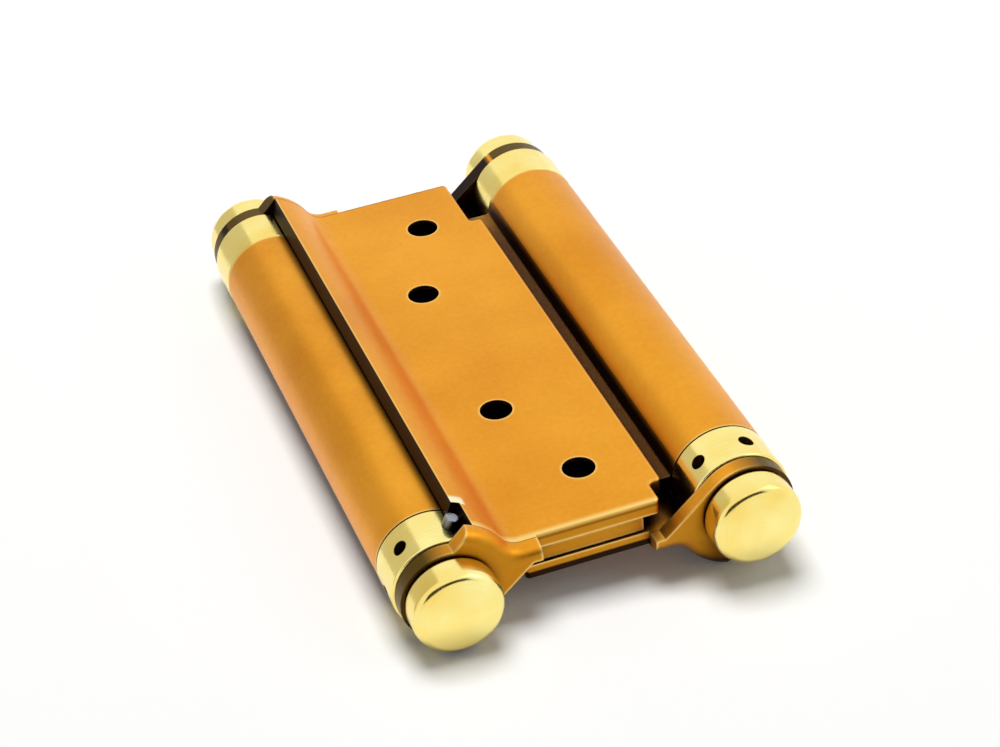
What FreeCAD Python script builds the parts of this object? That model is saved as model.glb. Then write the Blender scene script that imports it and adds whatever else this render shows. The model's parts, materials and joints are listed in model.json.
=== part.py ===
import FreeCAD, Part
import Sketcher
import math
import os

# Double action spring hinge, lying flat and closed.
# X runs across the two barrels, Y along them, Z up, and the lowest edge lies on Z = 0.
# Each piece of a barrel is drawn about its own spindle axis, with its leaf towards +X, and is
# then placed on the left barrel, or turned half round the Y axis and placed on the right one.

doc = FreeCAD.newDocument("cafe_hinge")
sheet = doc.addObject("Spreadsheet::Sheet", "sizes")

# Driving dimensions in millimetres, angles in degrees.
driving_sizes = [
    ("pin_spacing", 48.4),
    ("barrel_radius", 8.15),
    ("barrel_length", 84.2),
    ("web_thickness", 2.6),
    ("web_bend_radius", 2.0),
    ("seam_angle", 11.0),
    ("web_tongue_width", 16.8),
    ("web_tongue_overhang", 7.4),
    ("leaf_thickness", 2.6),
    ("leaf_gap", 0.2),
    ("leaf_edge_gap", 2.8),
    ("front_setback", 3.0),
    ("rear_setback", 2.1),
    ("fold_radius", 5.0),
    ("strip_clearance", 0.3),
    ("strip_end_angle", 69.0),
    ("pin_notch_angle", 61.5),
    ("pin_notch_length", 5.8),
    ("notch_depth", 2.1),
    ("rear_notch_length", 13.5),
    ("front_notch_length", 4.6),
    ("ear_lobe_radius", 7.8),
    ("ear_reach", 13.6),
    ("ear_shoulder", 1.5),
    ("ear_bend_radius", 2.0),
    ("outer_hole_reach", 27.0),
    ("outer_hole_spacing", 76.0),
    ("inner_hole_reach", 20.5),
    ("inner_hole_spacing", 36.5),
    ("hole_shift", 0.8),
    ("hole_diameter", 5.3),
    ("countersink_depth", 1.8),
    ("corner_radius", 0.8),
    ("edge_round", 0.4),
    ("collar_step", 0.05),
    ("collar_length", 8.0),
    ("spigot_length", 6.0),
    ("end_play", 0.1),
    ("running_clearance", 0.05),
    ("seat_clearance", 0.02),
    ("tommy_hole_count", 6),
    ("tommy_hole_diameter", 2.5),
    ("tommy_hole_depth", 4.0),
    ("tommy_hole_inset", 4.4),
    ("stop_pin_angle", 69.7),
    ("stop_pin_diameter", 2.4),
    ("stop_pin_height", 1.8),
    ("anchor_pin_angle", 45.0),
    ("anchor_pin_diameter", 2.0),
    ("anchor_pin_depth", 4.6),
    ("spindle_diameter", 5.0),
    ("knob_radius", 7.3),
    ("knob_length", 5.4),
    ("knob_edge_radius", 1.4),
    ("knob_back_radius", 0.7),
    ("knob_crown", 0.4),
    ("knob_bore_depth", 3.6),
    ("spring_outer_clearance", 0.7),
    ("spring_inner_clearance", 0.65),
    ("spring_wire_height", 4.4),
    ("spring_turns", 12),
    ("spring_end_gap", 0.3),
    ("tang_length", 3.5),
    ("tang_thickness", 1.6),
]
for row, (alias, value) in enumerate(driving_sizes, start=1):
    sheet.set(f"A{row}", alias)
    sheet.set(f"B{row}", str(value))
    sheet.setAlias(f"B{row}", alias)
doc.recompute()

# Sizes that follow from the driving ones, as expressions on the sheet.
half_spacing = "(sizes.pin_spacing / 2)"
barrel_end = "(sizes.barrel_length / 2)"
barrel_bore = "(sizes.barrel_radius - sizes.web_thickness)"
half_web = "(sizes.web_thickness / 2)"
web_bend_pitch = "(sizes.barrel_radius - sizes.web_thickness / 2 + sizes.web_bend_radius)"
web_bend_x = f"sqrt({web_bend_pitch} ^ 2 - sizes.web_bend_radius ^ 2)"
leaf_under = f"({half_web} + sizes.leaf_gap)"
leaf_top = f"({leaf_under} + sizes.leaf_thickness)"
collar_radius = "(sizes.barrel_radius + sizes.collar_step)"
strip_inner = f"({collar_radius} + sizes.strip_clearance)"
strip_outer = f"({strip_inner} + sizes.leaf_thickness)"
fold_height = f"({leaf_under} + sizes.leaf_thickness / 2 + sizes.fold_radius)"
fold_pitch = f"({strip_inner} + sizes.leaf_thickness / 2 + sizes.fold_radius)"
fold_x = f"sqrt({fold_pitch} ^ 2 - {fold_height} ^ 2)"
ear_inner = f"({barrel_end} + sizes.collar_length + 2 * sizes.end_play)"
ear_outer = f"({ear_inner} + sizes.leaf_thickness)"
ear_root_x = "(sizes.ear_reach + sizes.ear_shoulder)"
leaf_end = {end: f"({ear_outer} - sizes.{end}_setback)" for end in ("front", "rear")}
leaf_reach = "(sizes.pin_spacing - sizes.barrel_radius - sizes.leaf_edge_gap)"
spindle_radius = "(sizes.spindle_diameter / 2)"
running_bore = f"({spindle_radius} + sizes.running_clearance)"
seated_bore = f"({spindle_radius} + sizes.seat_clearance)"
collar_start = f"({barrel_end} + sizes.end_play)"
running_slack = "(2 * sizes.running_clearance)"
tommy_floor = f"({collar_radius} - sizes.tommy_hole_depth)"
tommy_y = f"(-{collar_start} - sizes.tommy_hole_inset)"
anchor_floor = "(sizes.barrel_radius - sizes.anchor_pin_depth)"
anchor_y = f"({barrel_end} - sizes.spigot_length / 2)"
anchor_hole_radius = "(sizes.anchor_pin_diameter / 2 + sizes.seat_clearance)"
anchor_turn = "(90 - sizes.anchor_pin_angle)"
tommy_turn = "(90 - sizes.stop_pin_angle)"
knob_start = f"({ear_outer} + sizes.end_play)"
spindle_end = f"({knob_start} + sizes.knob_bore_depth - sizes.end_play)"
spring_inner = f"({spindle_radius} + sizes.spring_inner_clearance)"
spring_outer = f"({barrel_bore} - sizes.spring_outer_clearance)"
spring_end = f"({barrel_end} - sizes.spigot_length - sizes.spring_end_gap)"
spring_pitch = f"((2 * {spring_end} - sizes.spring_wire_height) / sizes.spring_turns)"
tang_end = f"({spring_end} + sizes.tang_length)"
axis_height = f"({strip_outer} * sin(sizes.strip_end_angle))"


def number(expression):
    """Value of an expression on the sheet."""
    value = sheet.evalExpression(expression)
    return float(getattr(value, "Value", value))


def new_body(label):
    body = doc.addObject("PartDesign::Body", label)
    body.Label = label
    return body


def origin_feature(body, role):
    return next(part for part in body.Origin.OriginFeatures if part.Role == role)


def add_sketch(body, name, plane, offset="0", turn="0", across="0"):
    """Sketch on one of the body's own origin planes.

    The plane is moved across, turned about the sketch's upright axis and raised by offset
    along its normal, all given as expressions.
    """
    sketch = body.newObject("Sketcher::SketchObject", name)
    sketch.AttachmentSupport = [(origin_feature(body, plane), "")]
    sketch.MapMode = "FlatFace"
    sketch.AttachmentOffset.Rotation = FreeCAD.Rotation(FreeCAD.Vector(0, 1, 0), 1)
    sketch.setExpression("AttachmentOffset.Rotation.Angle", turn)
    sketch.setExpression("AttachmentOffset.Base.x", f"{across} + {offset} * sin({turn})")
    sketch.setExpression("AttachmentOffset.Base.z", f"{offset} * cos({turn})")
    doc.recompute()
    return sketch


def fix_value(sketch, constraint, expression):
    index = sketch.addConstraint(constraint)
    sketch.setExpression(f"Constraints[{index}]", expression)


def fix_point(sketch, geometry, vertex, x, y):
    """Tie a point to the sketch's origin by two expressions."""
    origin = (-1, 1)
    fix_value(sketch, Sketcher.Constraint("DistanceX", *origin, geometry, vertex, number(x)), x)
    fix_value(sketch, Sketcher.Constraint("DistanceY", *origin, geometry, vertex, number(y)), y)


def arc_between(start, end, radius, turn, long_way):
    """Arc from start to end, turning left (+1) or right (-1), as a counter-clockwise arc."""
    chord = end - start
    rise = math.sqrt(max(radius ** 2 - (chord.Length / 2) ** 2, 0))
    side = -turn if long_way else turn
    left = FreeCAD.Vector(-chord.y, chord.x, 0).normalize()
    centre = (start + end) / 2 + left * rise * side
    first, last = (start, end) if turn > 0 else (end, start)
    first_angle = math.atan2(first.y - centre.y, first.x - centre.x)
    last_angle = math.atan2(last.y - centre.y, last.x - centre.x)
    if last_angle <= first_angle:
        last_angle += 2 * math.pi
    circle = Part.Circle(centre, FreeCAD.Vector(0, 0, 1), radius)
    return Part.ArcOfCircle(circle, first_angle, last_angle)


def draw_outline(sketch, corners, arcs=None):
    """Closed outline through corners given as pairs of expressions.

    arcs maps the number of a side to (radius, turn, long_way); other sides are straight.
    """
    arcs = arcs or {}
    points = [FreeCAD.Vector(number(x), number(y), 0) for x, y in corners]
    ends = []
    for side, start in enumerate(points):
        end = points[(side + 1) % len(points)]
        if side in arcs:
            radius, turn, long_way = arcs[side]
            arc = arc_between(start, end, number(radius), turn, long_way)
            geometry = sketch.addGeometry(arc)
            ends.append((geometry, 1, 2) if turn > 0 else (geometry, 2, 1))
        else:
            geometry = sketch.addGeometry(Part.LineSegment(start, end))
            ends.append((geometry, 1, 2))
    for side, (geometry, _, last) in enumerate(ends):
        following, first, _ = ends[(side + 1) % len(ends)]
        sketch.addConstraint(Sketcher.Constraint("Coincident", geometry, last, following, first))
    for (x, y), (geometry, first, _) in zip(corners, ends):
        fix_point(sketch, geometry, first, x, y)
    for side, (radius, _, _) in arcs.items():
        geometry = ends[side][0]
        fix_value(sketch, Sketcher.Constraint("Radius", geometry, number(radius)), radius)


def draw_box(sketch, low_x, low_y, high_x, high_y):
    draw_outline(sketch, [(low_x, low_y), (high_x, low_y), (high_x, high_y), (low_x, high_y)])


def draw_circle(sketch, x, y, radius):
    centre = FreeCAD.Vector(number(x), number(y), 0)
    circle = Part.Circle(centre, FreeCAD.Vector(0, 0, 1), number(radius))
    geometry = sketch.addGeometry(circle)
    fix_point(sketch, geometry, 3, x, y)
    fix_value(sketch, Sketcher.Constraint("Radius", geometry, number(radius)), radius)


def pad(body, sketch, length, symmetric=False):
    feature = body.newObject("PartDesign::Pad", f"{sketch.Name}_pad")
    feature.Profile = sketch
    feature.setExpression("Length", length)
    if symmetric:
        feature.SideType = "Symmetric"
    doc.recompute()
    return feature


def cut_through(body, sketch, symmetric=False):
    """Pocket along the sketch's normal, or both ways, through the whole body."""
    before = body.Tip.Shape.Volume
    feature = body.newObject("PartDesign::Pocket", f"{sketch.Name}_cut")
    feature.Profile = sketch
    feature.Type = "ThroughAll"
    if symmetric:
        feature.SideType = "Symmetric"
    else:
        feature.Reversed = True
    doc.recompute()
    if feature.Shape.Volume >= before:
        raise RuntimeError(f"{feature.Name} removes nothing")
    return feature


def cut_to_depth(body, sketch, depth, forward=False):
    """Pocket against the sketch's normal, or along it, to a depth."""
    before = body.Tip.Shape.Volume
    feature = body.newObject("PartDesign::Pocket", f"{sketch.Name}_cut")
    feature.Profile = sketch
    feature.Reversed = forward
    feature.setExpression("Length", depth)
    doc.recompute()
    if feature.Shape.Volume >= before:
        raise RuntimeError(f"{feature.Name} removes nothing")


def revolve(body, sketch):
    """Full turn about the sketch's upright axis."""
    feature = body.newObject("PartDesign::Revolution", f"{sketch.Name}_turned")
    feature.Profile = sketch
    feature.ReferenceAxis = (sketch, ["V_Axis"])
    feature.Angle = 360
    doc.recompute()
    return feature


def dress(body, kind, name, size, wanted):
    """Fillet or chamfer on the edges of the body's tip that wanted() picks."""
    base = body.Tip
    names = [f"Edge{i}" for i, edge in enumerate(base.Shape.Edges, start=1) if wanted(edge)]
    if not names:
        raise RuntimeError(f"{name} finds no edges")
    feature = body.newObject(f"PartDesign::{kind}", name)
    feature.Base = (base, names)
    feature.setExpression("Radius" if kind == "Fillet" else "Size", size)
    doc.recompute()
    return feature


def near(first, second):
    return abs(first - second) < 1e-4


def place(body, side):
    """Put a piece drawn about a spindle axis on its barrel."""
    half_turn = {"left": "0", "right": "180"}[side]
    sign = {"left": "-", "right": ""}[side]
    body.Placement.Rotation = FreeCAD.Rotation(FreeCAD.Vector(0, 1, 0), 1)
    body.setExpression("Placement.Rotation.Angle", half_turn)
    body.setExpression("Placement.Base.x", f"{sign}{half_spacing}")
    body.setExpression("Placement.Base.z", axis_height)


def polar(radius, angle):
    return (f"({radius} * cos({angle}))", f"({radius} * sin({angle}))")


def fold_point(radius):
    """Point at a radius from the spindle, where the strip turns into the fold."""
    return (f"({radius} * {fold_x} / {fold_pitch})", f"({radius} * {fold_height} / {fold_pitch})")


def make_web():
    """One sheet with both edges rolled into barrels, one over and one under."""
    body = new_body("centre_web")
    bend_inner = f"(sizes.web_bend_radius - {half_web})"
    bend_outer = f"(sizes.web_bend_radius + {half_web})"

    def bend_point(radius):
        x = f"({radius} * {web_bend_x} / {web_bend_pitch})"
        return (x, f"(-{radius} * sizes.web_bend_radius / {web_bend_pitch})")

    left = [
        (web_bend_x, half_web),
        bend_point(barrel_bore),
        polar(barrel_bore, "sizes.seam_angle"),
        polar("sizes.barrel_radius", "sizes.seam_angle"),
        bend_point("sizes.barrel_radius"),
        (web_bend_x, f"(-{half_web})"),
    ]
    corners = [(f"({x} - {half_spacing})", z) for x, z in left]
    corners += [(f"({half_spacing} - {x})", f"(-{z})") for x, z in left]
    arcs = {}
    for first in (0, len(left)):
        arcs[first] = (bend_outer, 1, False)
        arcs[first + 1] = (barrel_bore, -1, True)
        arcs[first + 3] = ("sizes.barrel_radius", 1, True)
        arcs[first + 4] = (bend_inner, -1, False)
    section = add_sketch(body, "web_section", "XZ_Plane")
    draw_outline(section, corners, arcs)
    pad(body, section, "sizes.barrel_length", symmetric=True)

    half_tongue = "(sizes.web_tongue_width / 2)"
    tongue = add_sketch(body, "web_tongue", "XZ_Plane")
    draw_box(tongue, f"(-{half_tongue})", f"(-{half_web})", half_tongue, half_web)
    pad(body, tongue, "sizes.barrel_length + 2 * sizes.web_tongue_overhang", symmetric=True)

    for side, sign, half_turn in (("left", "-", "0"), ("right", "", "180")):
        turn = f"({anchor_turn} + {half_turn})"
        drilling = add_sketch(body, f"{side}_anchor_hole", "XY_Plane", turn=turn,
                              across=f"{sign}{half_spacing}")
        draw_circle(drilling, "0", anchor_y, anchor_hole_radius)
        cut_through(body, drilling)
    body.setExpression("Placement.Base.z", axis_height)
    return body


def make_leaf(name, side):
    """One sheet: a flat plate, an ogee fold, a strip round the barrel and two ears."""
    body = new_body(name)
    fold_inner = "(sizes.fold_radius - sizes.leaf_thickness / 2)"
    fold_outer = "(sizes.fold_radius + sizes.leaf_thickness / 2)"
    section = add_sketch(body, f"{name}_section", "XZ_Plane")
    corners = [
        polar(strip_inner, "sizes.strip_end_angle"),
        fold_point(strip_inner),
        (fold_x, leaf_under),
        (leaf_reach, leaf_under),
        (leaf_reach, leaf_top),
        (fold_x, leaf_top),
        fold_point(strip_outer),
        polar(strip_outer, "sizes.strip_end_angle"),
    ]
    arcs = {
        0: (strip_inner, -1, False),
        1: (fold_outer, 1, False),
        5: (fold_inner, -1, False),
        6: (strip_outer, 1, False),
    }
    draw_outline(section, corners, arcs)
    pad(body, section, f"2 * {ear_outer}", symmetric=True)

    trim = add_sketch(body, f"{name}_trim", "XY_Plane")
    past_edge = f"({leaf_reach} + sizes.leaf_thickness)"
    past_end = f"({ear_outer} + sizes.leaf_thickness)"
    notch_x = f"({leaf_reach} - sizes.notch_depth)"
    for end, sign in (("front", "-"), ("rear", "")):
        end_y = f"({sign}{leaf_end[end]})"
        notch_y = f"({sign}({leaf_end[end]} - sizes.{end}_notch_length))"
        corners = [
            (ear_root_x, end_y),
            (notch_x, end_y),
            (notch_x, notch_y),
            (past_edge, notch_y),
            (past_edge, f"({sign}{past_end})"),
            (ear_root_x, f"({sign}{past_end})"),
        ]
        draw_outline(trim, corners)
    cut_through(body, trim, symmetric=True)

    edge_height = f"({strip_outer} * sin(sizes.strip_end_angle))"
    edge_across = f"({strip_outer} * cos(sizes.strip_end_angle))"
    lean = f"(({edge_across} - {edge_height}) / sqrt(2))"
    reach = f"sqrt(sizes.ear_lobe_radius ^ 2 - {lean} ^ 2)"
    lobe_start = (f"(({reach} + {lean}) / sqrt(2))", f"(({reach} - {lean}) / sqrt(2))")
    neck_square = f"(sizes.ear_reach ^ 2 + {leaf_under} ^ 2)"
    neck_length = f"sqrt({neck_square} - sizes.ear_lobe_radius ^ 2)"
    touch_x = f"(sizes.ear_lobe_radius * sizes.ear_reach + {neck_length} * {leaf_under})"
    touch_z = f"(sizes.ear_lobe_radius * {leaf_under} - {neck_length} * sizes.ear_reach)"
    lobe_end = tuple(f"(sizes.ear_lobe_radius * {part} / {neck_square})" for part in (touch_x, touch_z))
    for end, offset in (("front", ear_inner), ("rear", f"(-{ear_outer})")):
        ear = add_sketch(body, f"{name}_{end}_ear", "XZ_Plane", offset)
        corners = [
            polar(strip_outer, "sizes.strip_end_angle"),
            lobe_start,
            lobe_end,
            ("sizes.ear_reach", leaf_under),
            (ear_root_x, leaf_under),
            (ear_root_x, leaf_top),
            (fold_x, leaf_top),
            fold_point(strip_outer),
        ]
        arcs = {
            1: ("sizes.ear_lobe_radius", 1, True),
            6: (fold_inner, -1, False),
            7: (strip_outer, 1, False),
        }
        draw_outline(ear, corners, arcs)
        pad(body, ear, "sizes.leaf_thickness")

    outer_y = number(ear_outer)
    top_z = number(leaf_top)
    under_z = number(leaf_under)

    def outer_bend(edge):
        """Edge of an end face that lies on the leaf's outer side, where the ear folds down."""
        box = edge.BoundBox
        if not (near(abs(box.YMin), outer_y) and near(box.YMin, box.YMax)):
            return False
        if edge.Curve.TypeId == "Part::GeomCircle":
            return not near(edge.Curve.Radius, number("sizes.ear_lobe_radius"))
        return near(box.ZMin, top_z) and near(box.ZMax, top_z)

    dress(body, "Fillet", f"{name}_ear_bends", "sizes.ear_bend_radius", outer_bend)

    pin_notch = add_sketch(body, f"{name}_pin_notch", "XZ_Plane", ear_inner)
    past_strip = "(2 * sizes.strip_end_angle - sizes.pin_notch_angle)"
    corners = [
        polar(f"({strip_inner} - sizes.leaf_thickness)", "sizes.pin_notch_angle"),
        polar(f"({strip_outer} + sizes.leaf_thickness)", "sizes.pin_notch_angle"),
        polar(f"({strip_outer} + sizes.leaf_thickness)", past_strip),
        polar(f"({strip_inner} - sizes.leaf_thickness)", past_strip),
    ]
    draw_outline(pin_notch, corners)
    cut_to_depth(body, pin_notch, "sizes.pin_notch_length")

    bores = add_sketch(body, f"{name}_pin_holes", "XZ_Plane")
    draw_circle(bores, "0", "0", running_bore)
    cut_through(body, bores, symmetric=True)

    screw_holes = add_sketch(body, f"{name}_screw_holes", "XY_Plane")
    for line in ("outer", "inner"):
        for sign in ("-", "+"):
            y = f"(sizes.hole_shift {sign} sizes.{line}_hole_spacing / 2)"
            draw_circle(screw_holes, f"sizes.{line}_hole_reach", y, "sizes.hole_diameter / 2")
    cut_through(body, screw_holes)

    def hole_rim(edge):
        if edge.Curve.TypeId != "Part::GeomCircle":
            return False
        level = near(edge.BoundBox.ZMin, under_z) and near(edge.BoundBox.ZMax, under_z)
        return level and near(edge.Curve.Radius, number("sizes.hole_diameter / 2"))

    dress(body, "Chamfer", f"{name}_countersinks", "sizes.countersink_depth", hole_rim)

    def plate_corner(edge):
        box = edge.BoundBox
        upright = near(box.XMin, box.XMax) and near(box.YMin, box.YMax)
        return upright and box.XMin > number(ear_root_x) + 1e-3

    dress(body, "Fillet", f"{name}_corners", "sizes.corner_radius", plate_corner)

    def plate_rim(edge):
        box = edge.BoundBox
        flat = near(box.ZMin, top_z) and near(box.ZMax, top_z)
        return flat and not edge.isClosed() and box.XMax > number(ear_root_x) + 1e-3

    dress(body, "Fillet", f"{name}_rim", "sizes.edge_round", plate_rim)
    place(body, side)
    return body


def collar_profile(sketch, start, length, radius, spigot_radius, bore, sign):
    """Flange from start outwards along Y, with a spigot back into the barrel."""
    flange_end = f"({start} + {length})"
    spigot_end = f"({start} - sizes.spigot_length)"
    rounding = "sizes.edge_round"
    corners = [
        (bore, f"({sign}{spigot_end})"),
        (spigot_radius, f"({sign}{spigot_end})"),
        (spigot_radius, f"({sign}{start})"),
        (f"({radius} - {rounding})", f"({sign}{start})"),
        (radius, f"({sign}({start} + {rounding}))"),
        (radius, f"({sign}({flange_end} - {rounding}))"),
        (f"({radius} - {rounding})", f"({sign}{flange_end})"),
        (bore, f"({sign}{flange_end})"),
    ]
    turn = -1 if sign == "-" else 1
    draw_outline(sketch, corners, {3: (rounding, turn, False), 5: (rounding, turn, False)})


def draw_tang(sketch, end, start, stop, clearance="0"):
    """Box of a spring tang from start to stop along the barrel, with clearance all round."""
    sign = {"front": "-", "rear": ""}[end]
    draw_box(sketch, f"({spring_inner} - {clearance})", f"({sign}{start})",
             f"({spring_outer} + {clearance})", f"({sign}{stop})")


def cut_tang_slot(body, end, spigot_end, clearance):
    """Slot in the spigot that the spring's tang turns with."""
    raised = {"front": f"(-sizes.tang_thickness - {clearance})", "rear": f"(-{clearance})"}[end]
    slot = add_sketch(body, f"{body.Label}_tang_slot", "XY_Plane", raised)
    draw_tang(slot, end, spigot_end, f"({tang_end} + {clearance})", clearance)
    cut_to_depth(body, slot, f"sizes.tang_thickness + 2 * {clearance}", forward=True)


def make_adjusting_collar(name, side):
    """Front collar that winds the spring, with radial holes for a tommy bar."""
    body = new_body(name)
    profile = add_sketch(body, f"{name}_profile", "XY_Plane")
    spigot_radius = f"({barrel_bore} - {running_slack})"
    collar_profile(profile, collar_start, "sizes.collar_length", collar_radius,
                   spigot_radius, running_bore, "-")
    revolve(body, profile)
    cut_tang_slot(body, "front", f"({collar_start} - sizes.spigot_length)", running_slack)
    hole = add_sketch(body, f"{name}_tommy_hole", "XY_Plane", tommy_floor, tommy_turn)
    draw_circle(hole, "0", tommy_y, "sizes.tommy_hole_diameter / 2")
    drilled = cut_through(body, hole)
    pattern = body.newObject("PartDesign::PolarPattern", f"{name}_tommy_holes")
    pattern.Originals = [drilled]
    pattern.Axis = (origin_feature(body, "Y_Axis"), [""])
    pattern.Angle = 360
    pattern.setExpression("Occurrences", "sizes.tommy_hole_count")
    body.Tip = pattern
    doc.recompute()
    place(body, side)
    return body


def make_fixed_collar(name, side):
    """Plain rear collar, pinned in its barrel, that holds the spindle."""
    body = new_body(name)
    profile = add_sketch(body, f"{name}_profile", "XY_Plane")
    spigot_radius = f"({barrel_bore} - sizes.seat_clearance)"
    collar_profile(profile, barrel_end, "sizes.collar_length", collar_radius,
                   spigot_radius, seated_bore, "")
    revolve(body, profile)
    cut_tang_slot(body, "rear", f"({barrel_end} - sizes.spigot_length)", "sizes.seat_clearance")
    hole = add_sketch(body, f"{name}_anchor_hole", "XY_Plane", anchor_floor, anchor_turn)
    draw_circle(hole, "0", anchor_y, anchor_hole_radius)
    cut_through(body, hole)
    place(body, side)
    return body


def make_stop_pin(name, side):
    """Pin in a tommy hole of the adjusting collar, which bears on the strip's edge."""
    body = new_body(name)
    seat = add_sketch(body, f"{name}_section", "XY_Plane", tommy_floor, tommy_turn)
    draw_circle(seat, "0", tommy_y, "sizes.stop_pin_diameter / 2")
    pad(body, seat, "sizes.tommy_hole_depth + sizes.stop_pin_height")
    tip_radius = number(f"{collar_radius} + sizes.stop_pin_height")

    def tip_rim(edge):
        centre = edge.CenterOfMass
        return near(math.hypot(centre.x, centre.z), tip_radius)

    dress(body, "Fillet", f"{name}_tip", "sizes.edge_round", tip_rim)
    place(body, side)
    return body


def make_anchor_pin(name, side):
    """Pin through the barrel's wall that locks the fixed collar, flush under the strip."""
    body = new_body(name)
    seat = add_sketch(body, f"{name}_section", "XY_Plane", anchor_floor, anchor_turn)
    draw_circle(seat, "0", anchor_y, "sizes.anchor_pin_diameter / 2")
    pad(body, seat, "sizes.anchor_pin_depth - sizes.end_play")
    place(body, side)
    return body


def make_spindle(name, side):
    body = new_body(name)
    section = add_sketch(body, f"{name}_section", "XZ_Plane")
    draw_circle(section, "0", "0", spindle_radius)
    pad(body, section, f"2 * {spindle_end}", symmetric=True)
    place(body, side)
    return body


def make_knob(name, side, end):
    """Round knob with rolled edges and a slightly crowned face, on the spindle's end."""
    body = new_body(name)
    sign = {"front": "-", "rear": ""}[end]
    face = f"({knob_start} + sizes.knob_length - sizes.knob_crown)"
    face_radius = "(sizes.knob_radius - sizes.knob_edge_radius)"
    crown_radius = f"(({face_radius} ^ 2 + sizes.knob_crown ^ 2) / (2 * sizes.knob_crown))"
    corners = [
        (seated_bore, f"({sign}{knob_start})"),
        ("(sizes.knob_radius - sizes.knob_back_radius)", f"({sign}{knob_start})"),
        ("sizes.knob_radius", f"({sign}({knob_start} + sizes.knob_back_radius))"),
        ("sizes.knob_radius", f"({sign}({face} - sizes.knob_edge_radius))"),
        (face_radius, f"({sign}{face})"),
        ("0", f"({sign}({face} + sizes.knob_crown))"),
        ("0", f"({sign}({knob_start} + sizes.knob_bore_depth))"),
        (seated_bore, f"({sign}({knob_start} + sizes.knob_bore_depth))"),
    ]
    turn = -1 if sign == "-" else 1
    arcs = {
        1: ("sizes.knob_back_radius", turn, False),
        3: ("sizes.knob_edge_radius", turn, False),
        4: (crown_radius, turn, False),
    }
    profile = add_sketch(body, f"{name}_profile", "XY_Plane")
    draw_outline(profile, corners, arcs)
    revolve(body, profile)
    place(body, side)
    return body


def make_spring(name, side):
    """Torsion spring of flat wire, wound round the spindle inside the barrel."""
    body = new_body(name)
    wire = add_sketch(body, f"{name}_wire", "XY_Plane")
    draw_box(wire, spring_inner, f"(-{spring_end})",
             spring_outer, f"(sizes.spring_wire_height - {spring_end})")
    coil = body.newObject("PartDesign::AdditiveHelix", f"{name}_coil")
    coil.Profile = wire
    coil.ReferenceAxis = (wire, ["V_Axis"])
    coil.Mode = "pitch-turns-angle"
    coil.setExpression("Pitch", spring_pitch)
    coil.setExpression("Turns", "sizes.spring_turns")
    doc.recompute()
    for end, raised in (("front", "(-sizes.tang_thickness)"), ("rear", "0")):
        tang = add_sketch(body, f"{name}_{end}_tang", "XY_Plane", raised)
        draw_tang(tang, end, f"({spring_end} - sizes.spring_wire_height)", tang_end)
        pad(body, tang, "sizes.tang_thickness")
    place(body, side)
    return body


pieces = [make_web()]
for side, leaf in (("left", "door_leaf"), ("right", "jamb_leaf")):
    pieces.append(make_leaf(leaf, side))
    pieces.append(make_adjusting_collar(f"{side}_adjusting_collar", side))
    pieces.append(make_stop_pin(f"{side}_stop_pin", side))
    pieces.append(make_fixed_collar(f"{side}_fixed_collar", side))
    pieces.append(make_anchor_pin(f"{side}_anchor_pin", side))
    pieces.append(make_spindle(f"{side}_spindle", side))
    pieces.append(make_spring(f"{side}_spring", side))
    for end in ("front", "rear"):
        pieces.append(make_knob(f"{side}_{end}_knob", side, end))
doc.recompute()

for item in doc.Objects:
    if {"Invalid", "Error"} & set(item.State):
        raise RuntimeError(f"{item.Name} did not build: {item.State}")
for piece in pieces:
    if piece.Shape.isNull() or not piece.Shape.isValid() or len(piece.Shape.Solids) != 1:
        raise RuntimeError(f"{piece.Label} is not one valid solid")

os.makedirs("parts", exist_ok=True)
for piece in pieces:
    piece.Shape.exportStep(f"parts/{piece.Label}.step")
    print(f"{piece.Label}: {piece.Shape.Volume / 1000:.3f} cm3")
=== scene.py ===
import json
import math
import bpy
from mathutils import Matrix, Vector


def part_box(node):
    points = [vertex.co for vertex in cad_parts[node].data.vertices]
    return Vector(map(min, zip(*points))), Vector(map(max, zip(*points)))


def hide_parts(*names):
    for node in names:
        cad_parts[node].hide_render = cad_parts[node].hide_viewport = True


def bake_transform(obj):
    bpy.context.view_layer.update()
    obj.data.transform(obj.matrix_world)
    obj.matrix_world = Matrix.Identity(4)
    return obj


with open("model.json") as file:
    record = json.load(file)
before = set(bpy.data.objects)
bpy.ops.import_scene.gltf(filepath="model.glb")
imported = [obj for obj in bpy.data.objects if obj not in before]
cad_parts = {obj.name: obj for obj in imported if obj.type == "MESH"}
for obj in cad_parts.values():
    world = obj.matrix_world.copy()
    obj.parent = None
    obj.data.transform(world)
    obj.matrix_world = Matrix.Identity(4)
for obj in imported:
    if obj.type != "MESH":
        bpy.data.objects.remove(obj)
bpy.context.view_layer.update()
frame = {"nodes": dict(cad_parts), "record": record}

mm = 0.001
black, white = (0, 0, 0, 1), (1, 1, 1, 1)
print("frame loaded:", len(frame["nodes"]), "nodes")

# camera, fitted to the photograph's collars, seams and screw holes
cameraPlan = {
    "azimuth": -16.757,      # degrees round the hinge
    "elevation": 35.659,
    "roll": -5.449,
    "distance": 465.96 * mm,
    "slide": 2.774 * mm,     # along the picture's width
    "rise": -1.057 * mm,     # along the picture's height
    "focalPixels": 2807.02,  # in a picture 1000 pixels wide
    "pictureWidth": 1000,
    "filmWidth": 36.0,
    "nearest": 10 * mm,
}


def spindleAxis(side):
    low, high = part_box(side + "_spindle")
    return (low + high) / 2


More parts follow.
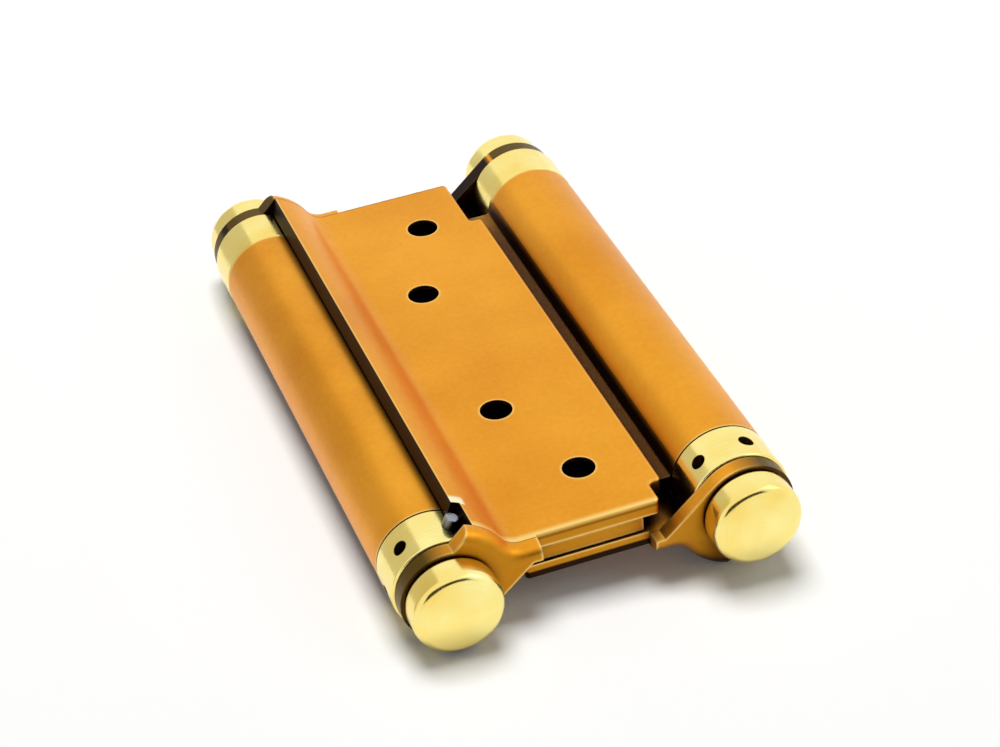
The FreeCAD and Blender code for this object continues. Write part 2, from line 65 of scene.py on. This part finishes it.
def makeCamera(plan):
    turn, lift, roll = (math.radians(plan[key]) for key in ("azimuth", "elevation", "roll"))
    back = Vector((math.sin(turn) * math.cos(lift), -math.cos(turn) * math.cos(lift), math.sin(lift)))
    level = Vector((math.cos(turn), math.sin(turn), 0))
    upright = back.cross(level)
    right = level * math.cos(roll) + upright * math.sin(roll)
    up = upright * math.cos(roll) - level * math.sin(roll)
    eye = back * plan["distance"] + right * plan["slide"] + up * plan["rise"]
    eye.z += spindleAxis("left").z
    lens = bpy.data.cameras.new("photoCamera")
    lens.sensor_fit = "HORIZONTAL"
    lens.sensor_width = plan["filmWidth"]
    lens.lens = plan["focalPixels"] * plan["filmWidth"] / plan["pictureWidth"]
    lens.clip_start = plan["nearest"]
    camera = bpy.data.objects.new("photoCamera", lens)
    bpy.context.scene.collection.objects.link(camera)
    camera.matrix_world = Matrix((right, up, back)).transposed().to_4x4()
    camera.location = eye
    bpy.context.scene.camera = camera


makeCamera(cameraPlan)
print("camera placed")


# shader helpers
class Wire:  # an output socket that takes part in sums
    def __init__(self, finish, socket):
        self.finish = finish
        self.socket = socket

    def do(self, operation, *others):
        return self.finish.node("Math", {"operation": operation}, [self, *others])

    def __add__(self, other):
        return self.do("ADD", other)

    def __sub__(self, other):
        return self.do("SUBTRACT", other)

    def __rsub__(self, other):
        return self.finish.node("Math", {"operation": "SUBTRACT"}, [other, self])

    def __mul__(self, other):
        return self.do("MULTIPLY", other)

    __radd__ = __add__
    __rmul__ = __mul__


class Finish:  # a material or a world, and the nodes in it
    def __init__(self, owner, shader):
        self.owner = owner
        owner.use_nodes = True
        self.tree = owner.node_tree
        self.shader = self.tree.nodes[shader]

    def node(self, kind, settings=None, inputs=None, out=0):
        made = self.tree.nodes.new("ShaderNode" + kind)
        for key, value in (settings or {}).items():
            if key == "stops":
                for stop, (place, tone) in zip(made.color_ramp.elements, value):
                    stop.position = place
                    stop.color = (tone, tone, tone, 1)
            else:
                setattr(made, key, value)
        pairs = inputs.items() if isinstance(inputs, dict) else enumerate(inputs or [])
        for key, value in pairs:
            self.feed(made.inputs[key], value)
        return Wire(self, made.outputs[out])

    def feed(self, socket, value):
        if isinstance(value, Wire):
            self.tree.links.new(value.socket, socket)
        else:
            socket.default_value = value

    def set(self, **values):
        for name, value in values.items():
            self.feed(self.shader.inputs[name.replace("_", " ")], value)

    def tint(self, amount, first, second):  # mix of two colours
        sockets = {0: amount, 6: first, 7: second}
        return self.node("Mix", {"data_type": "RGBA"}, sockets, out=2)

    def graded(self, value, span, tones=(0.0, 1.0)):  # from one tone to the other over the span
        return self.node("ValToRGB", {"stops": list(zip(span, tones))}, [value])

    def blended(self, shares, *parts):  # sum of the parts by their shares
        total = parts[0] * shares[0]
        for share, part in zip(shares[1:], parts[1:]):
            total = total + part * share
        return total

    def place(self):
        return self.node("TexCoord", out="Object")

    def split(self, vector):
        cut = self.node("SeparateXYZ", None, [vector])
        return [Wire(self, socket) for socket in cut.socket.node.outputs]

    def stretch(self, vector, scale):
        return self.node("Mapping", None, {"Vector": vector, "Scale": scale})

    def noise(self, vector, size, detail=3.0, rough=0.5):
        sockets = {"Vector": vector, "Scale": 1 / size, "Detail": detail, "Roughness": rough}
        return self.node("TexNoise", None, sockets)

    def rings(self, value, size, detail=3.0):  # noise along one number
        sockets = {"W": value, "Scale": 1 / size, "Detail": detail}
        return self.node("TexNoise", {"noise_dimensions": "1D"}, sockets)

    def normal(self):
        return self.node("NewGeometry", out="Normal")

    def edges(self, radius, span=(0.005, 0.10)):  # 0 on open faces, 1 on corners, where wear and a painted highlight go
        soft = self.node("Bevel", {"samples": 6}, {"Radius": radius})
        same = self.node("VectorMath", {"operation": "DOT_PRODUCT"}, [soft, self.normal()], out="Value")
        return self.graded(1 - same, span)

    def closeness(self, reach):  # 0 on open faces, near 1 deep in a gap
        return 1 - self.node("AmbientOcclusion", {"samples": 8}, {"Distance": reach}, out="AO")

    def shadeGaps(self, colour, closed, look):  # painted shade deep in the gaps
        return self.tint(self.between(closed, *look["gapDepth"]), colour, look["gapShade"])

    def between(self, value, low, high):  # 0 under low, 1 over high
        sockets = {"Value": value, "From Min": low, "From Max": high}
        return self.node("MapRange", None, sockets)

    def above(self, value, limit, blur):
        return self.between(value, limit - blur, limit)

    def bump(self, height, depth, facing=None):
        sockets = {"Height": height, "Strength": 1.0, "Distance": depth}
        if facing is not None:
            sockets["Normal"] = facing
        return self.node("Bump", None, sockets)

    def flattened(self, amount):  # the mesh's smooth normal, or its faces' own where amount is 1
        plain = self.node("NewGeometry", out="True Normal")
        sockets = {0: amount, 4: self.normal(), 5: plain}
        return self.node("Mix", {"data_type": "VECTOR"}, sockets, out=1)

    def seen(self):  # 1 for the camera's rays and for reflections
        straight = self.node("LightPath", out="Is Camera Ray")
        mirrored = self.node("LightPath", out="Is Glossy Ray")
        return straight.do("MAXIMUM", mirrored)


def newFinish(name):
    return Finish(bpy.data.materials.new(name), "Principled BSDF")


# satin orange-bronze plating on the folded sheets
satinBronze = {
    "deep": (0.76, 0.290, 0.012, 1),
    "bright": (0.90, 0.400, 0.026, 1),
    "toneShares": (0.7, 0.2, 0.1),  # cloud, fleck and grain
    "toneSpan": (0.35, 0.65),
    "metallic": 0.95,
    "roughness": (0.34, 0.46),
    "mattShares": (0.6, 0.4),  # grain and cloud
    "mattSpan": (0.3, 0.7),
    "cloud": 22 * mm,
    "fleck": 0.9 * mm,
    "grain": (2.2, 0.05, 2.2),  # brushed along the barrels
    "grainSize": 1.1 * mm,
    "grainDepth": 0.004 * mm,
    # edge wear, lightened further as a painted highlight on the rims
    "wearAndHighlight": (0.99, 0.72, 0.23, 1),
    "wearAndHighlightAmount": 0.8,
    "wearAndHighlightWidth": 0.8 * mm,
    "endFaceShade": (0.25, 0.105, 0.001, 1),  # painted shade on faces turned along the hinge: ends of the sheets and outer faces of the ears
    "endFaceShadeAmount": 0.5,
    "endFaceShadeFacing": (0.6, 0.95),
    # painted shade deep in the gaps, from ambient occlusion
    "gapShade": (0.022, 0.003, 0.001, 1),
    "gapReach": 7 * mm,
    "gapDepth": (0.32, 0.56),
    "valleyDepth": (0.16, 0.30),
    "valleyReach": (7.11 * mm, 7.26 * mm),  # from a spindle to where the painted shade on its barrel begins
}
# places on a leaf, from its spindle across the plate and out of the plate's face, and along the hinge
leafEdges = {
    "cut": (0.016, 0.003, 0.001, 1),  # painted shade on the strip's end and notch, the ears' inner faces and the rear ears' edges
    # painted shade on the rims of the ears' lobes
    "lobeRimShade": (0.120, 0.072, 0.009, 1),
    "cornerHighlight": (1.0, 0.93, 0.62, 1),  # painted highlight on the strip's corner at the notch
    # painted shade on the plate's front edge
    "frontEdgeShade": (0.020, 0.007, 0.001, 1),
    "blur": 0.1 * mm,
    "rimBlur": 0.08 * mm,
    "rimMargin": 0.02 * mm,
    "turnBlur": 0.008,
    "earStart": 2.55 * mm,  # back from the leaf's end, just inside the ear
    "earFace": 2.45 * mm,
    "notchTurn": math.radians(61.5),  # the strip's notch for the stop pin
    "notchStart": 44.48 * mm,
    "cornerTurn": math.radians(57.5),
    "cornerBlur": 0.04,
    "cornerStart": (42.4 * mm, 43.2 * mm),
    "cornerFade": 0.3 * mm,
    "neckSlope": (0.657, -0.753),  # across the edge that runs from the plate to the lobe
    "neckReach": 13.6 * mm,
    "lobeRing": 0.45 * mm,
    "rearLobe": (-4.0 * mm, -3.6 * mm),  # where the painted shade on the lobes' rims lies, left or right of the spindle
    "frontLobe": (-2.5 * mm, 3 * mm),
    "frontEdge": (48.7 * mm, 49.6 * mm),  # band along the plate's front edge, with a painted highlight above and painted shade below
    "plateFace": (3.7 * mm, 3.9 * mm),
    "frontEdgeShadeBlur": 0.3 * mm,
    "frontEdgeShadeBands": {  # painted shade on the plate's front edge: from, to, and how dark
        "left": (3.2 * mm, 3.6 * mm, 0.55),
        "right": (2.9 * mm, 4.5 * mm, 1.0),
    },
}


def paintEdges(finish, colour, spot, leaf, side, look, plan):
    axis = spindleAxis(side)
    turn = 1 if side == "left" else -1  # the lower leaf is the upper one turned over
    flat = [((v.co.x - axis.x) * turn, abs(v.co.y), (v.co.z - axis.z) * turn) for v in leaf.data.vertices]
    highest = max(flat, key=lambda place: place[2])
    stripEnd = math.atan2(highest[2], highest[0])
    slantReach = max(w - u for u, y, w in flat)
    lobe = max(-u for u, y, w in flat)
    length = max(y for u, y, w in flat)

    x, y, z = finish.split(spot)
    u, w = (x - axis.x) * turn, (z - axis.z) * turn
    outward, forward, end = 0 - u, 0 - y, y.do("ABSOLUTE")
    angle = w.do("ARCTAN2", u)
    rear = finish.above(y, 0.0, plan["blur"])
    ear = finish.above(end, length - plan["earStart"], plan["blur"])
    inside = ear - finish.above(end, length - plan["earFace"], plan["blur"])

    # the plate's front edge: a painted highlight laid on as a worn band above, painted shade below
    front = finish.between(forward, *plan["frontEdge"]) * (1 - ear)
    # painted highlight along the plate's front top edge
    frontRimHighlight = front * finish.between(w, *plan["plateFace"])
    colour = finish.tint(frontRimHighlight * look["wearAndHighlightAmount"], colour, look["wearAndHighlight"])
    # painted highlight on the strip's corner at the notch
    cornerHighlight = finish.above(angle, plan["cornerTurn"], plan["cornerBlur"])
    cornerHighlight = cornerHighlight * finish.between(forward, *plan["cornerStart"])
    fade = finish.above(forward, plan["notchStart"] + plan["cornerFade"], plan["cornerFade"])
    colour = finish.tint(cornerHighlight * (1 - fade), colour, plan["cornerHighlight"])
    # painted shade under the front rim, and over the lower half of the lower leaf's front edge
    start, stop, dark = plan["frontEdgeShadeBands"][side]
    frontEdgeShade = finish.above(w, start, plan["frontEdgeShadeBlur"]) - finish.above(w, stop, plan["frontEdgeShadeBlur"])
    colour = finish.tint(front * frontEdgeShade * dark, colour, plan["frontEdgeShade"])

    # painted shade on the rims of the ears' lobes
    rimShade = finish.above((u * u + w * w).do("SQRT"), lobe - plan["lobeRing"], plan["rimBlur"])
    rearRimShade = rear * finish.between(outward, *plan["rearLobe"])
    rimShade = rimShade * rearRimShade.do("MAXIMUM", finish.between(outward, *plan["frontLobe"]))
    colour = finish.tint(rimShade * ear, colour, plan["lobeRimShade"])

    # painted shade on the strip's end and notch, and on the ears' inner faces and the rear ears' edges
    notch = finish.above(angle, plan["notchTurn"], plan["turnBlur"])
    notch = notch * finish.above(forward, plan["notchStart"], plan["blur"])
    strip = finish.above(angle, stripEnd, plan["turnBlur"]).do("MAXIMUM", notch) * (1 - ear)
    slant = finish.above(w - u, slantReach - plan["rimMargin"], plan["rimBlur"])
    slopeU, slopeW = plan["neckSlope"]
    neck = finish.above(u * slopeU + w * slopeW, lobe - plan["rimMargin"], plan["rimBlur"])
    neck = neck * finish.above(outward, -plan["neckReach"], plan["blur"])
    rearEdges = slant.do("MAXIMUM", neck) * rear * ear
    # painted shade on those faces
    return finish.tint(strip.do("MAXIMUM", rearEdges).do("MAXIMUM", inside), colour, plan["cut"])


def paintValleyShade(finish, colour, spot, closed, look):  # painted shade in the valley between the two barrels
    x, y, z = finish.split(spot)
    inward = spindleAxis("right").x - x.do("ABSOLUTE")
    valleyShade = finish.between(inward, *look["valleyReach"])
    valleyShade = valleyShade * finish.between(closed, *look["valleyDepth"])
    return finish.tint(valleyShade, colour, look["gapShade"])


def makeSatinBronze(look, leaf=None, side=None):
    finish = newFinish("satinBronze" + (side or "web").capitalize())
    spot = finish.place()
    cloud = finish.noise(spot, look["cloud"])
    fleck = finish.noise(spot, look["fleck"], detail=2.0)
    grain = finish.noise(finish.stretch(spot, look["grain"]), look["grainSize"], rough=0.6)
    tone = finish.graded(finish.blended(look["toneShares"], cloud, fleck, grain), look["toneSpan"])
    colour = finish.tint(tone, look["deep"], look["bright"])
    # painted shade on faces turned along the hinge
    endways = finish.split(finish.normal())[1].do("ABSOLUTE")
    endFaceShade = finish.between(endways, *look["endFaceShadeFacing"])
    colour = finish.tint(endFaceShade * look["endFaceShadeAmount"], colour, look["endFaceShade"])
    # wear and painted highlight on the rounded edges
    colour = finish.tint(finish.edges(look["wearAndHighlightWidth"]) * look["wearAndHighlightAmount"], colour, look["wearAndHighlight"])
    closed = finish.closeness(look["gapReach"])
    if leaf is not None:
        colour = paintEdges(finish, colour, spot, leaf, side, look, leafEdges)
    else:
        colour = paintValleyShade(finish, colour, spot, closed, look)
    colour = finish.shadeGaps(colour, closed, look)
    matt = finish.graded(finish.blended(look["mattShares"], grain, cloud), look["mattSpan"], look["roughness"])
    finish.set(Base_Color=colour, Roughness=matt, Metallic=look["metallic"])
    finish.set(Normal=finish.bump(grain, look["grainDepth"]))
    return finish.owner


# polished pale brass on the knobs and collars
polishedBrass = {
    "deep": (0.96, 0.71, 0.17, 1),
    "bright": (1.0, 0.91, 0.37, 1),
    "toneShares": (0.8, 0.2),  # cloud and turning
    "toneSpan": (0.3, 0.7),
    "roughness": (0.13, 0.26),
    "mattShares": (0.7, 0.3),  # smudge and turning
    "mattSpan": (0.4, 0.65),
    "cloud": 9 * mm,
    "smudge": 5 * mm,
    "turning": 0.35 * mm,
    "turningDepth": 0.002 * mm,
    "turningStart": (1.1 * mm, 1.4 * mm),
    # painted shade deep in the gaps, from ambient occlusion
    "gapShade": (0.10, 0.035, 0.004, 1),
    "gapReach": 2.5 * mm,
    "gapDepth": (0.35, 0.8),
}


def makePolishedBrass(look):
    finish = newFinish("polishedBrass")
    spot = finish.place()
    x, y, z = finish.split(spot)
    across = x.do("ABSOLUTE") - spindleAxis("right").x
    upright = z - spindleAxis("right").z
    radius = (across * across + upright * upright).do("SQRT")
    turned = finish.rings(radius + y, look["turning"])  # tool marks of the lathe
    cloud = finish.noise(spot, look["cloud"])
    smudge = finish.noise(spot, look["smudge"], detail=4.0, rough=0.6)
    tone = finish.graded(finish.blended(look["toneShares"], cloud, turned), look["toneSpan"])
    colour = finish.tint(tone, look["deep"], look["bright"])
    colour = finish.shadeGaps(colour, finish.closeness(look["gapReach"]), look)
    matt = finish.graded(finish.blended(look["mattShares"], smudge, turned), look["mattSpan"], look["roughness"])
    finish.set(Base_Color=colour, Roughness=matt, Metallic=1.0)
    outside = finish.between(radius, *look["turningStart"])
    facing = finish.flattened(1 - outside)  # the mesh's own normal is off at a knob's centre
    finish.set(Normal=finish.bump(turned * outside, look["turningDepth"], facing))
    return finish.owner


# bright steel of the pins, spindles and springs
springSteel = {
    "deep": (0.20, 0.21, 0.24, 1),
    "bright": (0.46, 0.48, 0.53, 1),
    "toneShares": (0.6, 0.4),  # cloud and drawing marks
    "toneSpan": (0.35, 0.65),
    "roughness": (0.22, 0.40),
    "mattSpan": (0.35, 0.65),
    "cloud": 4 * mm,
    "drawn": (0.4, 3.0, 0.4),  # drawing marks along the wire
    "drawnSize": 0.8 * mm,
    "drawnDepth": 0.004 * mm,
    # painted shade deep in the gaps, from ambient occlusion
    "gapShade": (0.012, 0.010, 0.012, 1),
    "gapReach": 4 * mm,
    "gapDepth": (0.12, 0.45),
}


def makeSpringSteel(look):
    finish = newFinish("springSteel")
    spot = finish.place()
    cloud = finish.noise(spot, look["cloud"])
    drawn = finish.noise(finish.stretch(spot, look["drawn"]), look["drawnSize"])
    tone = finish.graded(finish.blended(look["toneShares"], cloud, drawn), look["toneSpan"])
    colour = finish.tint(tone, look["deep"], look["bright"])
    colour = finish.shadeGaps(colour, finish.closeness(look["gapReach"]), look)
    matt = finish.graded(drawn, look["mattSpan"], look["roughness"])
    finish.set(Base_Color=colour, Roughness=matt, Metallic=1.0)
    finish.set(Normal=finish.bump(drawn, look["drawnDepth"]))
    return finish.owner


finishes = {
    "satin_bronze": makeSatinBronze(satinBronze),
    "polished_brass": makePolishedBrass(polishedBrass),
    "spring_steel": makeSpringSteel(springSteel),
}
ownFinishes = {
    node: makeSatinBronze(satinBronze, frame["nodes"][node], side)
    for node, side in (("door_leaf", "left"), ("jamb_leaf", "right"))
}
for row in frame["record"]["subparts"]:
    node = frame["nodes"][row["node"]]
    node.data.materials.clear()
    node.data.materials.append(ownFinishes.get(row["node"]) or finishes[row["material_slot"]])
print("finishes on:", ", ".join(finishes))

# springs: each spring's mesh copied into a new object, with the part hidden
springPlan = {
    "left": {"leaf": "door_leaf", "tang": 3.5 * mm},
    "right": {"leaf": "jamb_leaf", "tang": 3.5 * mm},
}


def makeSprings(plan):
    for side, spring in plan.items():
        node = side + "_spring"
        coil = bpy.data.objects.new(side + "WoundSpring", frame["nodes"][node].data.copy())
        bpy.context.scene.collection.objects.link(coil)
        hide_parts(node)
        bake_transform(coil)


makeSprings(springPlan)

# pale floor, tilted to touch the left collars and the lower strip's edge
floorPlan = {
    "size": 4.0,
    "colour": (0.90, 0.90, 0.895, 1),
    "roughness": 0.9,
    "paper": 3 * mm,
    "paperDepth": 0.02 * mm,
    "glow": (0.05, 0.70),  # lifts the lit floor to white where it is seen, more where the light fades
    "fade": (0.15, 1.50),  # metres from the hinge
}


def makeFloor(plan):
    low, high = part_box("left_adjusting_collar")
    collarFoot = Vector(((low.x + high.x) / 2, 0, low.z))
    edgeFoot = min((v.co for v in frame["nodes"]["jamb_leaf"].data.vertices), key=lambda co: co.z)
    tilt = math.atan2(collarFoot.z - edgeFoot.z, edgeFoot.x - collarFoot.x)
    middle = Vector((0, 0, edgeFoot.z + edgeFoot.x * math.tan(tilt)))
    bpy.ops.object.select_all(action="DESELECT")
    bpy.ops.mesh.primitive_plane_add(size=plan["size"], location=middle, rotation=(0, tilt, 0))
    floor = bpy.context.object
    floor.name = "floor"
    bpy.ops.object.transform_apply(location=True, rotation=True, scale=True)
    finish = newFinish("paleFloor")
    spot = finish.place()
    paper = finish.noise(spot, plan["paper"])
    x, y, z = finish.split(spot)
    away = finish.between((x * x + y * y).do("SQRT"), *plan["fade"])
    dim, full = plan["glow"]
    glow = (dim + away * (full - dim)) * finish.seen()
    finish.set(Base_Color=plan["colour"], Roughness=plan["roughness"], Emission_Strength=1.0)
    finish.set(Emission_Color=finish.tint(glow, black, white))
    finish.set(Normal=finish.bump(paper, plan["paperDepth"]))
    floor.data.materials.append(finish.owner)


makeFloor(floorPlan)
print("floor laid")

# soft studio light
lampPlan = {
    "overhead": {"at": (0.06, 0.30, 1.58), "size": 0.80, "watts": 24.5, "mirrored": False},
    "side": {"at": (0.55, -0.35, 0.50), "size": 0.40, "watts": 0.5, "mirrored": True},
}
# glowing cards that only reflections show, painting darker reflections: in the knobs' rounded edges, and along
# the left side of each barrel
cardPlan = {
    "front": {"at": (-0.134, -0.761, 0.207), "facing": (-0.134, -0.761, 0.207), "size": (1.10, 0.44),
              "shade": (0.02, 0.016, 0.012, 1)},
    "left": {"at": (-0.062, 0.080, 0.0475), "facing": (-1, 0, 0), "size": (0.26, 0.095),
             "shade": (0.62, 0.58, 0.50, 1)},
}
worldPlan = {"sky": white, "light": 0.15}


def aim(place):  # turn that faces the hinge
    return Vector(place).to_track_quat("Z", "Y").to_euler()


def makeLamps(plan):
    for name, lamp in plan.items():
        data = bpy.data.lights.new(name, "AREA")
        data.shape = "SQUARE"
        data.size = lamp["size"]
        data.energy = lamp["watts"]
        holder = bpy.data.objects.new(name, data)
        bpy.context.scene.collection.objects.link(holder)
        holder.location = lamp["at"]
        holder.rotation_euler = aim(lamp["at"])
        holder.visible_glossy = lamp["mirrored"]


def makeCards(plan):
    for name, card in plan.items():
        bpy.ops.object.select_all(action="DESELECT")
        bpy.ops.mesh.primitive_plane_add(size=1, location=card["at"], rotation=aim(card["facing"]))
        holder = bpy.context.object
        holder.name = name + "Card"
        holder.scale = (*card["size"], 1)
        bpy.ops.object.transform_apply(location=True, rotation=True, scale=True)
        finish = newFinish(name + "Card")
        finish.set(Base_Color=black, Roughness=1.0)
        finish.set(Emission_Color=card["shade"], Emission_Strength=1.0)
        holder.data.materials.append(finish.owner)
        holder.visible_camera = False
        holder.visible_diffuse = False
        holder.visible_shadow = False


def makeWorld(plan):
    world = bpy.data.worlds.new("studio")
    bpy.context.scene.world = world
    finish = Finish(world, "Background")
    shown = {"Value": finish.seen(), "To Min": plan["light"], "To Max": 1.0}
    finish.set(Color=plan["sky"], Strength=finish.node("MapRange", None, shown))


makeLamps(lampPlan)
makeCards(cardPlan)
makeWorld(worldPlan)
bpy.context.scene.view_settings.view_transform = "Standard"
print("lights on")
